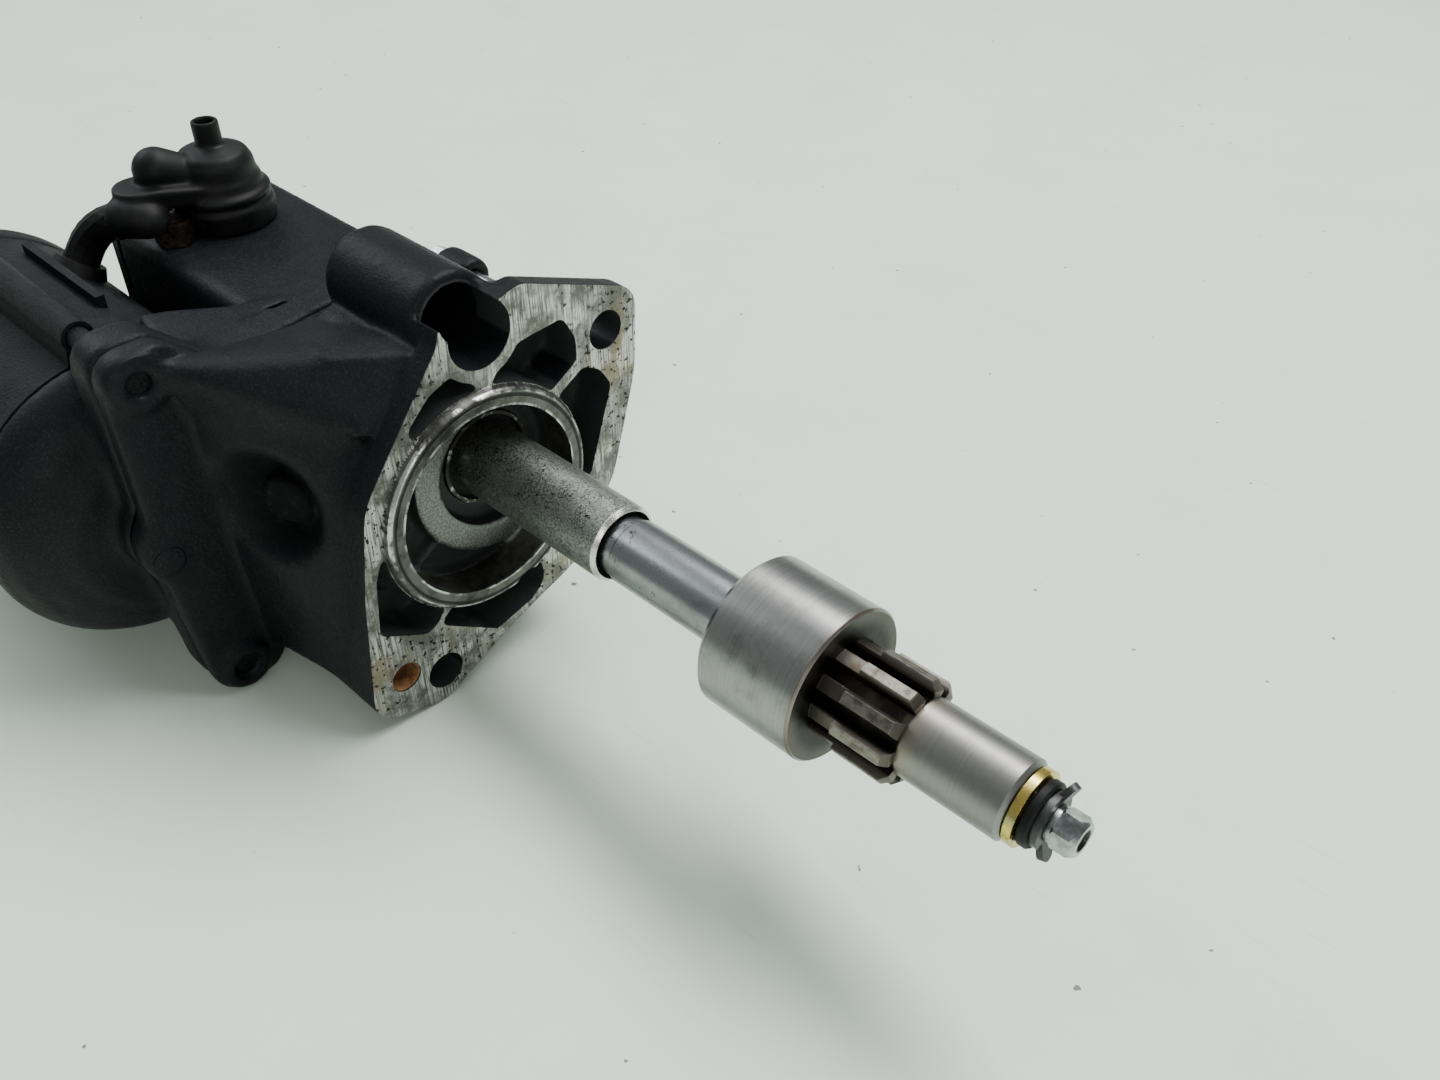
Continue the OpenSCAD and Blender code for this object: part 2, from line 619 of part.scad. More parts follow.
module clutch_rear_bearing() {
    color(steel) ball_bearing(-72.8, -65.2, 17.48, 12, [0, 0], 12);
}
module nose_bearing() {
    inner_r = sleeve_d / 2 + 0.04;
    outer_r = bearing_bore_r - 0.02;
    color(steel) turned([[-26, inner_r], [-26, outer_r], [bearing_front_x, outer_r],
        [bearing_front_x, outer_r - 1], [-18, outer_r - 1], [-18, inner_r]]);
}
module nose_seal() {
    color(rubber) tube(-17.9, -14.6, bearing_bore_r - 1.06, sleeve_d / 2 + 0.06);
}
module solenoid_coil() {
    color("#a4552a") tube(-116, -80.4, 25.6, 13.2);
}
module solenoid_core() {
    color(steel) tube(-80.2, -75.2, 25.8, 4.4);
}
// Two angle contacts, one on each terminal stud, that the disc bridges
module solenoid_contacts() {
    color("#b5763c") {
        difference() {
            translate([battery_at[0] - 4.5, battery_at[1] - 4, 17.1])
                cube([contact_x + 3.2 - battery_at[0] + 4.5, 8, 2.6]);
            translate([battery_at[0], battery_at[1], 10]) cylinder(h = 12, r = 3.95);
        }
        translate([contact_x, battery_at[1] - 4, 8]) cube([3.2, 8, 9.2]);
        difference() {
            translate([motor_stud[0] - 4, motor_stud[1] - 2.6, 3.6]) cube([7.8, 6.6, 2.4]);
            translate([motor_stud[0], motor_stud[1], 0]) cylinder(h = 8, r = 2.95);
        }
        translate([contact_x, motor_stud[1] + 3.9, -4]) cube([3.2, 9.5, 10]);
    }
}
module plunger() {
    // the annular seat round the nose holds the return spring
    color(steel) turned([[-134, 0], [-134, 2.5], [-118, 2.5], [-118, 12.9], [-91, 12.9], [-91, 8.3],
        [-103, 8.3], [-103, 4], [-76.4, 4], [-76.4, 0]]);
}
module contact_disc() {
    color("#b5763c") tube(-133, -131.5, 14, 2.5);
}
module plunger_spring() {
    color(steel) coil_spring(-102.9, -80.3, 7, 0.7, 6);
}
module thrust_ball() {
    color(steel) translate([-72.3, 0, 0]) sphere(r = 3.95, $fn = 32);
}
module output_shaft() {
    color(steel) turned([[-68.2, 0], [-68.2, 7.2], [-67.4, 8], [-1.5, 8], [-1, 7.5], [-1, 2.5],
        [-24, 2.5], [-24, 0]]);
}
module coupling_sleeve() {
    r = sleeve_d / 2;
    color("#7d8078") turned([[sleeve_back_x, 8.02], [sleeve_back_x, r - 0.8], [sleeve_back_x + 0.8, r],
        [sleeve_front_x - 1, r], [sleeve_front_x, r - 0.9], [sleeve_front_x, 9.3],
        [sleeve_front_x - 6, 9.3], [sleeve_front_x - 6, 8.02]]);
}
module jackshaft() {
    r = jackshaft_d / 2;
    color(steel) turned([[0, 2.55], [0, 7.6], [0.4, 8], [45, 8], [45.7, r], [98, r], [98, 6],
        [164.3, 6], [164.3, 2.55]]);
}
module jackshaft_bolt() {
    color("#b4b7b8") union() {
        bar(-20, 167, 2.5);
        bar(166, 167.4, 4.3);
        intersection() {
            translate([167.2, 0, 0]) rotate([0, 90, 0]) cylinder(h = 5.4, r = 4.75, $fn = 6);
            turned([[167, 0], [167, 4.2], [167.8, 4.8], [171.2, 4.8], [172.6, 3.7], [172.6, 2.6],
                [172, 2.2], [172, 0]]);
        }
    }
}
module lock_plate() {
    back_x = 164.4;
    thick = 1.5;
    tab_r = 2.1;
    color("#4b4c4d") difference() {
        union() {
            bar(back_x, back_x + thick, 6.4);
            // two tabs, bent a little towards the bolt head
            for (a = [58, -105]) rotate([a, 0, 0]) translate([back_x, 4.6, 0]) rotate([0, 0, -20]) {
                translate([0, 0, -tab_r]) cube([thick, 3.1, 2 * tab_r]);
                translate([0, 3.05, 0]) rotate([0, 90, 0]) cylinder(h = thick, r = tab_r);
            }
        }
        bar(back_x - 1, back_x + 6, 2.6);
    }
}
module thrust_ring() {
    color("#b79a3a") tube(159.5, 161.5, 8.8, 6.05);
}
module end_seal() {
    color(rubber) turned([[161.7, 6.05], [161.7, 7.2], [162.2, 7.6], [163.7, 7.6], [164.2, 7.2],
        [164.2, 6.05]]);
}
module snap_ring() {
    color(steel) tube(85.8, 87.2, 12.2, jackshaft_d / 2);
}
module pinion_spring() {
    color(steel) coil_spring(87.4, 103.8, 10.6, 0.9, 4);
}
module drive_pinion() {
    r = collar_d / 2;
    j = journal_d / 2;
    tip = pinion_tip_d / 2;
    color("#7b7872") difference() {
        union() {
            turned([[collar_back_x, 0], [collar_back_x, r - 1.6], [collar_back_x + 1.6, r],
                [collar_front_x - 0.6, r], [collar_front_x, r - 0.6], [collar_front_x, 0]]);
            intersection() {
                across(collar_front_x - 1, teeth_front_x)
                    polygon(gear_outline(pinion_teeth, pinion_module, pinion_turn, 0.2, tip));
                turned([[collar_front_x - 1, 0], [collar_front_x - 1, tip - 1.1], [relief_x, tip - 1.1],
                    [relief_x, tip + 0.1], [teeth_front_x - 1.8, tip + 0.1],
                    [teeth_front_x, tip - 1.9], [teeth_front_x, 0]]);
            }
            turned([[teeth_front_x - 3, 0], [teeth_front_x - 3, 8.4], [teeth_front_x, j],
                [journal_end_x - 1, j], [journal_end_x, j - 1], [journal_end_x, 0]]);
        }
        bar(collar_back_x - 1, 104, 13);
        bar(100, journal_end_x + 1, 6.05);
    }
}
module clutch_gear() {
    color(steel) difference() {
        union() {
            across(gear_back_x + 0.5, gear_front_x)
                polygon(gear_outline(clutch_teeth, gear_module, motor_angle));
            bar(gear_front_x - eps, -39.4, 26.5);
        }
        bar(-61, -39, 14.6);
        bar(-54, -41, 19.5);
    }
}
module clutch_rollers() {
    color(steel) for (k = [0:7]) rotate([45 * k, 0, 0]) bar(-53.5, -41.5, 2.4, [0, 17.05]);
}
module clutch_hub() {
    color(steel) turned([[-72.5, 8.06], [-72.5, 12], [-65.1, 12], [-65.1, 14.5], [-38.6, 14.5],
        [-38.6, 12], [-31.4, 12], [-31.4, 8.06]]);
}
module idler_gear() {
    turn = motor_angle + 180 / idler_teeth * (idler_teeth % 2 == 0 ? 1 : 0);
    color(steel) difference() {
        translate([0, idler_y, idler_z])
            across(gear_back_x + 0.3, gear_front_x) polygon(gear_outline(idler_teeth, gear_module, turn));
        bar(-62, -50, 5.2, [idler_y, idler_z]);
    }
}
module idler_bushing() {
    color("#a4793c") tube(gear_back_x + 0.3, gear_front_x, 5.18, 4.04, [idler_y, idler_z]);
}
module armature_shaft() {
    turn = motor_angle + 180 + 180 / armature_teeth;
    at = [motor_y, motor_z];
    color(steel) union() {
        translate([0, motor_y, motor_z])
            across(gear_back_x + 0.2, split_x - 0.5)
                polygon(gear_outline(armature_teeth, gear_module, turn));
        bar(-66, gear_back_x + 0.4, 7, at);
        bar(-82, -65.9, 5.98, at);
        bar(-165, -81.9, 6.6, at);
        bar(cover_end_x + 1.4, -164.9, 4.48, at);
    }
}
module armature_core() {
    color("#55585a") difference() {
        translate([0, motor_y, motor_z]) across(-139, -91) difference() {
            circle(r = 30.2);
            for (k = [0:14]) rotate(24 * k) translate([25, -1.1]) square([8, 2.2]);
        }
        bar(-140, -90, 6.6, [motor_y, motor_z]);
    }
}
module armature_winding() {
    color("#a4552a") union() {
        tube(-91 + eps, -83, 28, 12, [motor_y, motor_z]);
        tube(-147, -139 - eps, 28, 14.4, [motor_y, motor_z]);
    }
}
module commutator() {
    color("#b5763c") difference() {
        bar(-163, -147.2, 14, [motor_y, motor_z]);
        bar(-164, -146, 6.6, [motor_y, motor_z]);
        for (k = [0:14]) translate([0, motor_y, motor_z]) rotate([24 * k, 0, 0])
            translate([-164, -0.3, 12.6]) cube([18, 0.6, 3]);
    }
}
drive_housing();
solenoid_housing();
motor_yoke();
end_cover();
through_bolts();
case_screws();
solenoid_cover();
cover_screws();
locating_sleeve();
battery_terminal();
terminal_insulator();
terminal_nut();
terminal_boot();
motor_terminal();
lead_eyelet();
motor_lead();
lead_grommet();
pole_shoes();
field_coils();
front_motor_bearing();
rear_motor_bearing();
brush_holder();
brushes();
brush_springs();
idler_pin();
clutch_front_bearing();
clutch_rear_bearing();
nose_bearing();
nose_seal();
solenoid_coil();
solenoid_core();
solenoid_contacts();
plunger();
contact_disc();
plunger_spring();
thrust_ball();
output_shaft();
coupling_sleeve();
jackshaft();
jackshaft_bolt();
lock_plate();
thrust_ring();
end_seal();
snap_ring();
pinion_spring();
drive_pinion();
clutch_gear();
clutch_rollers();
clutch_hub();
idler_gear();
idler_bushing();
armature_shaft();
armature_core();
armature_winding();
commutator();
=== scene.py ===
"""Looks for the starter motor: camera, bench, light, rounded castings and procedural materials."""
import json
import math

import bpy
import numpy as np
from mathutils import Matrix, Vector


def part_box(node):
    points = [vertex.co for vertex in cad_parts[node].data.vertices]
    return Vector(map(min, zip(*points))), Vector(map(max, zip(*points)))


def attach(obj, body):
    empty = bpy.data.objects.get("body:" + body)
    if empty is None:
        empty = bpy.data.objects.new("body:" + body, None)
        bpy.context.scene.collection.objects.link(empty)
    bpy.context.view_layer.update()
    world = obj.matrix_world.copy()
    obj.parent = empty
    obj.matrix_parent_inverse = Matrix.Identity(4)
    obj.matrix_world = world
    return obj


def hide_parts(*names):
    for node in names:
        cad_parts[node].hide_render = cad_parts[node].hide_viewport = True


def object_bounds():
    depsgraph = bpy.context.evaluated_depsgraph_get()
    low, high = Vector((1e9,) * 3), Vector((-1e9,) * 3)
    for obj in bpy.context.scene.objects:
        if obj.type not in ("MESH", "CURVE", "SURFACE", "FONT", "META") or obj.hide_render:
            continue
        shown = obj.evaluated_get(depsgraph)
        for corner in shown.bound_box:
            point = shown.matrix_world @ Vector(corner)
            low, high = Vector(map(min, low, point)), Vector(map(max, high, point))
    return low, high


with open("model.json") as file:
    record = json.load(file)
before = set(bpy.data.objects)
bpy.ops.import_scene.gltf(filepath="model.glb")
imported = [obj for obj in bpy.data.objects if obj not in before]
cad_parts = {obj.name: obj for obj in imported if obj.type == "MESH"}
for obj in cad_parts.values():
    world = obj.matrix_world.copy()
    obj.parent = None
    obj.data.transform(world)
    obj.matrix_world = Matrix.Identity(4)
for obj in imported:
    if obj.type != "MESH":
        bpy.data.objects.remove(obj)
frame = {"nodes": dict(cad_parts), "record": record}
NODES = frame["nodes"]
MOUNTS = {m["name"]: m for m in frame["record"]["mounts"]}
CAD_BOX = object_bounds()
MM = 0.001

# The camera looks down at the shaft from in front of the flange
VIEW_AZIMUTH = 43.9
VIEW_ELEVATION = 39.0
VIEW_DISTANCE = 0.300
VIEW_TARGET = Vector((0.0703, 0.0048, 0.0148))
LENS_MM = 32.5

# Stage, in metres and watts
BENCH_HALF = 8.0
CEILING_WATTS = 23.5
WINDOW_WATTS = 9
DOORWAY_WATTS = 5
DAY_STRENGTH = 0.95
ROOM_STRENGTH = 0.33

# Machined stock that a casting is given before it is rounded, and then loses again
STOCK = 1.2 * MM

# Drive casting: the pilot ring, the seat plate inside it and the pockets in the flange
PILOT = Vector(MOUNTS["pilot_ring"]["pos_m"])
PILOT_R = MOUNTS["pilot_ring"]["dims"]["r_mm"] * MM
PILOT_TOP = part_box("drive_housing")[1].x
PILOT_WALL = 4.6 * MM
CHAMFER = 0.6 * MM
SEAT_X = -8 * MM
SEAT_OUTER = 26.2 * MM
POCKET_FLOOR_X = -13.2 * MM

# Drive casting: the middle of the painted shadow in the scoop, the lug in the scoop, the ears and the
# ejector's mark
SCOOP = (-31 * MM, -52 * MM, 4 * MM)
LUG_X = -28 * MM
LUG_Z = 3.2 * MM
EARS = ((-71 * MM, 41 * MM), (-67 * MM, -52.2 * MM))
EAR_X = -45 * MM
EJECTOR_MARK = (-77.5 * MM, -9 * MM)
EJECTOR_MARK_R = 4.2 * MM

# Solenoid casting: the slot in its shelf
SLOT = (-64 * MM, -24 * MM)
SHELF_Z = 29 * MM

# Shaft end: where the bands of the pinion meet, the sleeve's bore and the bolt's hollow end
COLLAR_FACE_X = 112.5 * MM
TEETH_END_X = 133.5 * MM
TOOTH_ROOT_R = 9.2 * MM
TOOTH_TIP_R = 12.85 * MM
SLEEVE_FRONT_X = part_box("coupling_sleeve")[1].x
SLEEVE_BORE_R = 9.2 * MM
BOLT_HOLLOW_X = 171.2 * MM
BOLT_HOLLOW_R = 2.8 * MM


# ---------- camera, floor and light ----------
def add_object(name, data):
    made = bpy.data.objects.new(name, data)
    bpy.context.scene.collection.objects.link(made)
    return made


def add_camera():
    az, el = math.radians(VIEW_AZIMUTH), math.radians(VIEW_ELEVATION)
    away = Vector((math.sin(az) * math.cos(el), -math.cos(az) * math.cos(el), math.sin(el)))
    data = bpy.data.cameras.new("camera")
    data.lens = LENS_MM
    data.sensor_width = 36
    data.clip_start = 0.01
    cam = add_object("camera", data)
    cam.location = VIEW_TARGET + away * VIEW_DISTANCE
    cam.rotation_euler = (-away).to_track_quat("-Z", "Y").to_euler()
    bpy.context.scene.camera = cam


def area_light(name, place, aim, size, watts, colour=(1, 1, 1)):
    data = bpy.data.lights.new(name, "AREA")
    data.shape = "RECTANGLE"
    data.size, data.size_y = size
    data.energy = watts
    data.color = colour
    lamp = add_object(name, data)
    lamp.location = place
    lamp.rotation_euler = (Vector(aim) - Vector(place)).to_track_quat("-Z", "Y").to_euler()


def add_stage():
    low = CAD_BOX[0][2]
    half = BENCH_HALF
    mesh = bpy.data.meshes.new("bench")
    mesh.from_pydata([(-half, -half, low), (half, -half, low), (half, half, low), (-half, half, low)],
                     [], [(0, 1, 2, 3)])
    look = Look("bench", rough=0.5, shine=0.35)
    smudge = look.noise(14, detail=5)
    along = look.stretched((22, 210, 1), math.radians(35), axis=2)
    scuffs = look.both(look.step(look.noise(1.0, 4, 0.6, along), 0.62, 0.74),
                       look.step(look.noise(9, 3), 0.42, 0.62))
    specks = look.step(look.noise(230, 2, 0.4), 0.775, 0.79)
    tone = look.mix(look.step(smudge, 0.3, 0.75), (0.845, 0.965, 0.835), (0.785, 0.90, 0.77))
    tone = look.over(tone, (0.55, 0.56, 0.53), scuffs, 0.35)
    look.colour(look.over(tone, (0.20, 0.20, 0.19), specks))
    look.rough(look.scale(smudge, 0.35, 0.6))
    mesh.materials.append(look.mat)
    add_object("bench", mesh)
    world = bpy.data.worlds.new("room")
    world.use_nodes = True
    back = world.node_tree.nodes["Background"]
    back.inputs["Color"].default_value = (0.86, 0.93, 0.92, 1)
    back.inputs["Strength"].default_value = ROOM_STRENGTH
    bpy.context.scene.world = world
    day = bpy.data.lights.new("day", "SUN")
    day.energy = DAY_STRENGTH
    day.angle = math.radians(48)
    add_object("day", day).rotation_euler = Vector((0.12, -0.42, -1)).to_track_quat("-Z", "Y").to_euler()
    area_light("ceiling", (0.15, 0.62, 1.25), (0.05, 0, 0), (1.5, 0.42), CEILING_WATTS)
    area_light("window", (-1.2, -0.2, 1.0), (0, 0, 0), (0.9, 0.7), WINDOW_WATTS, (0.93, 0.99, 1))
    area_light("doorway", (1.3, -0.9, 0.8), (0.05, 0, 0), (0.4, 0.9), DOORWAY_WATTS, (1, 0.98, 0.95))


# ---------- procedural materials ----------
class Look:
    """A principled material and short ways to wire textures into it. Places are object space."""

    def __init__(self, name, rough=0.5, metal=0.0, edge=0.0, shine=0.5):
        self.mat = bpy.data.materials.new(name)
        self.mat.use_nodes = True
        self.tree = self.mat.node_tree
        self.shader = self.tree.nodes["Principled BSDF"]
        self.put(self.shader.inputs["Roughness"], rough)
        self.put(self.shader.inputs["Metallic"], metal)
        self.shader.inputs["Specular IOR Level"].default_value = shine
        self.place = self.add("ShaderNodeTexCoord").outputs["Object"]
        self.normal = None
        if edge:
            soft = self.add("ShaderNodeBevel", samples=4)
            soft.inputs["Radius"].default_value = edge
            self.normal = soft.outputs["Normal"]
            self.put(self.shader.inputs["Normal"], self.normal)

    def add(self, kind, **settings):
        node = self.tree.nodes.new(kind)
        for key, value in settings.items():
            setattr(node, key, value)
        return node

    def put(self, socket, value):
        if isinstance(value, bpy.types.NodeSocket):
            self.tree.links.new(value, socket)
        elif isinstance(value, tuple) and len(value) == 3 and socket.type == "RGBA":
            socket.default_value = (*value, 1)
        else:
            socket.default_value = value

    def colour(self, value):
        self.put(self.shader.inputs["Base Color"], value)

    def rough(self, value):
        self.put(self.shader.inputs["Roughness"], value)

    def metal(self, value):
        self.put(self.shader.inputs["Metallic"], value)

    def math(self, operation, a, b=0.0):
        node = self.add("ShaderNodeMath", operation=operation)
        self.put(node.inputs[0], a)
        self.put(node.inputs[1], b)
        return node.outputs[0]

    def vector(self, operation, a, b=None):
        """A vector node with its inputs set; its caller takes the output it needs."""
        node = self.add("ShaderNodeVectorMath", operation=operation)
        self.put(node.inputs[0], a)
        if b is not None:
            self.put(node.inputs[1], b)
        return node

    def part(self, vector, letter):
        node = self.add("ShaderNodeSeparateXYZ")
        self.put(node.inputs[0], vector)
        return node.outputs[letter]

    def axis(self, letter):
        return self.part(self.place, letter)

    def faces(self):
        return self.add("ShaderNodeNewGeometry").outputs["Normal"]

    def facing(self, letter):
        return self.part(self.faces(), letter)

    def from_line(self, y, z):
        """The way to this point from a line along X through y, z, at right angles to it."""
        moved = self.vector("SUBTRACT", self.place, (0, y, z)).outputs[0]
        return self.vector("MULTIPLY", moved, (0, 1, 1)).outputs[0]

    def radius(self, y=0.0, z=0.0):
        """Distance from a line along X through y, z."""
        return self.vector("LENGTH", self.from_line(y, z)).outputs["Value"]

    def outward(self, y, z):
        """How far the surface faces away from a line along X through y, z: negative if it faces it."""
        return self.vector("DOT_PRODUCT", self.from_line(y, z), self.faces()).outputs["Value"]

    def distance(self, point):
        return self.vector("DISTANCE", self.place, point).outputs["Value"]

    def stretched(self, scale, turn=0.0, axis=0):
        node = self.add("ShaderNodeMapping")
        self.put(node.inputs["Vector"], self.place)
        node.inputs["Rotation"].default_value[axis] = turn
        node.inputs["Scale"].default_value = scale
        return node.outputs["Vector"]

    def noise(self, scale, detail=4.0, rough=0.6, at=None):
        node = self.add("ShaderNodeTexNoise")
        self.put(node.inputs["Vector"], at or self.place)
        node.inputs["Scale"].default_value = scale
        node.inputs["Detail"].default_value = detail
        node.inputs["Roughness"].default_value = rough
        return node.outputs["Fac"]

    def step(self, value, low, high):
        """0 below low, 1 above high, smooth between; low may be the larger one."""
        node = self.add("ShaderNodeMapRange", interpolation_type="SMOOTHSTEP")
        self.put(node.inputs["Value"], value)
        flip = low > high
        node.inputs["From Min"].default_value = min(low, high)
        node.inputs["From Max"].default_value = max(low, high)
        node.inputs["To Min"].default_value = 1.0 if flip else 0.0
        node.inputs["To Max"].default_value = 0.0 if flip else 1.0
        return node.outputs["Result"]

    def band(self, value, rise_from, rise_to, fall_from, fall_to):
        """1 between rise_to and fall_from, 0 outside the other two, smooth between."""
        return self.both(self.step(value, rise_from, rise_to), self.step(value, fall_to, fall_from))

    def scale(self, value, low, high):
        """Maps 0..1 to low..high."""
        return self.math("ADD", self.math("MULTIPLY", value, high - low), low)

    def both(self, *masks):
        out = masks[0]
        for mask in masks[1:]:
            out = self.math("MULTIPLY", out, mask)
        return out

    def either(self, *masks):
        out = masks[0]
        for mask in masks[1:]:
            out = self.math("MAXIMUM", out, mask)
        return out

    def mix(self, amount, a, b):
        node = self.add("ShaderNodeMix", data_type="RGBA")
        self.put(node.inputs[0], amount)
        self.put(node.inputs[6], a)
        self.put(node.inputs[7], b)
        return node.outputs[2]

    def over(self, base, top, mask, most=1.0):
        """Lays the colour top over base where mask is 1, and at most this strongly."""
        return self.mix(mask if most == 1.0 else self.scale(mask, 0, most), base, top)

    def blend(self, amount, a, b):
        node = self.add("ShaderNodeMix", data_type="FLOAT")
        self.put(node.inputs[0], amount)
        self.put(node.inputs[2], a)
        self.put(node.inputs[3], b)
        return node.outputs[0]

    def bump(self, height, depth, strength=1.0):
        node = self.add("ShaderNodeBump")
        self.put(node.inputs["Height"], height)
        node.inputs["Distance"].default_value = depth
        self.put(node.inputs["Strength"], strength)
        if self.normal:
            self.put(node.inputs["Normal"], self.normal)
        self.normal = node.outputs["Normal"]
        self.put(self.shader.inputs["Normal"], self.normal)


def bare_masks(look, x, ring_r):
    """Where the drive casting is bare: the machined face, the pilot ring and the seat plate."""
    face = look.step(x, -0.3 * MM, -0.1 * MM)
    ring = look.both(look.step(x, SEAT_X - 1.5 * MM, SEAT_X),
                     look.band(ring_r, SEAT_OUTER + 0.1 * MM, SEAT_OUTER + 0.7 * MM,
                               PILOT_R + 0.4 * MM, PILOT_R + 0.7 * MM))
    seat = look.both(look.band(x, SEAT_X - 0.6 * MM, SEAT_X - 0.3 * MM, SEAT_X + 0.3 * MM, SEAT_X + 0.6 * MM),
                     look.step(look.radius(), SEAT_OUTER + 0.5 * MM, SEAT_OUTER))
    return face, ring, seat


def ring_masks(look, x, ring_r):
    """The turned groove in the pilot ring's front, which carries painted shade, and its edges, which are
    rubbed bright and carry a painted highlight.
    """
    top = look.step(x, PILOT_TOP - 0.7 * MM, PILOT_TOP - 0.2 * MM)
    groove = look.both(top, look.band(ring_r, PILOT_R - 2.3 * MM, PILOT_R - 2.0 * MM,
                                      PILOT_R - 1.5 * MM, PILOT_R - 1.2 * MM))
    outer = look.both(look.step(x, PILOT_TOP - 1.0 * MM, PILOT_TOP - 0.7 * MM),
                      look.step(ring_r, PILOT_R - 1.1 * MM, PILOT_R - 0.6 * MM))
    inner_r = PILOT_R - PILOT_WALL
    inner = look.both(top, look.step(ring_r, inner_r + 0.8 * MM, inner_r + 0.3 * MM))
    # Rubbed metal and a painted highlight along the ring's edges
    rim_wear_and_highlight = look.both(look.either(outer, inner), look.step(look.noise(160, 4), 0.44, 0.58))
    return groove, rim_wear_and_highlight


def bare_metal(look, streaks, ring, seat, groove, rim_wear_and_highlight):
    """Scratched and stained aluminium, duller on the turned ring and on the cast seat; painted shade on the
    seat's upper side and in the ring's groove, and rubbed metal with a painted highlight on the ring's edges.
    """
    stains = look.noise(120, 8, 0.72)
    patches = look.noise(42, 5, 0.6)
    metal = look.mix(look.step(streaks, 0.3, 0.7), (0.16, 0.16, 0.152), (0.47, 0.465, 0.44))
    metal = look.over(metal, (0.11, 0.107, 0.095), look.step(stains, 0.42, 0.58), 0.9)
    metal = look.over(metal, (0.27, 0.215, 0.145), look.step(patches, 0.52, 0.68), 0.7)
    bright = look.both(look.step(look.noise(75, 4, 0.5), 0.50, 0.60), look.step(streaks, 0.42, 0.55))
    metal = look.over(metal, (0.72, 0.72, 0.69), bright, 0.7)
    specks = look.both(look.step(look.noise(640, 2, 0.5), 0.58, 0.64), look.step(patches, 0.38, 0.52))
    metal = look.over(metal, (0.022, 0.021, 0.02), specks)
    cast = look.mix(look.step(look.noise(1500, 3), 0.42, 0.6), (0.13, 0.135, 0.13), (0.23, 0.235, 0.222))
    # Painted shadow: the cast seat is darkened nearly to black towards its upper side (larger Y and Z)
    shade = look.both(look.step(look.axis("Y"), -2 * MM, 12 * MM), look.step(look.axis("Z"), -8 * MM, 6 * MM))
    metal = look.over(metal, look.over(cast, (0.03, 0.03, 0.03), shade, 0.85), seat)
    turned = look.mix(look.step(stains, 0.38, 0.66), (0.135, 0.133, 0.125), (0.042, 0.040, 0.037))
    metal = look.over(metal, turned, ring)
    # Painted shade in the turned groove of the pilot ring
    metal = look.over(metal, (0.018, 0.017, 0.016), groove, 0.85)
    # Painted highlight, with rubbed metal, on the ring's edges
    return look.over(metal, (0.62, 0.62, 0.59), rim_wear_and_highlight, 0.85)


def black_paint(look, x, ring_r, painted_scoop_shadow):
    """Satin black, dusty on top, lighter on the pockets' walls (partly dust, partly painted light) and with a
    painted shadow in the scoop.
    """
    up = look.step(look.facing("Z"), 0.2, 0.95)
    dust = look.both(up, look.step(look.noise(170, 6, 0.7), 0.35, 0.8))
    paint = look.mix(look.noise(45, 3), (0.0042, 0.0047, 0.0060), (0.0090, 0.0098, 0.0120))
    paint = look.over(paint, (0.014, 0.0145, 0.016), dust, 0.4)
    inward = look.step(look.outward(PILOT.y, PILOT.z), 6 * MM, 1 * MM)
    # Pocket walls: lighter paint, partly dust and partly painted light standing in for the light that reaches
    # them
    pocket_dust_and_light = look.both(look.band(x, POCKET_FLOOR_X - 0.6 * MM, POCKET_FLOOR_X, -0.6 * MM, -0.2 * MM),
                          look.either(inward, look.step(ring_r, 36 * MM, 34 * MM)))
    # Painted light, with some dust, on the pockets' walls
    paint = look.over(paint, (0.040, 0.042, 0.043), pocket_dust_and_light, 0.85)
    paint = look.over(paint, (0.020, 0.021, 0.023), look.step(look.noise(1900, 2, 0.5), 0.50, 0.68), 0.6)
    # Painted shadow: near-black paint laid over the scoop
    return look.over(paint, (0.0012, 0.0013, 0.0016), painted_scoop_shadow, 0.95)


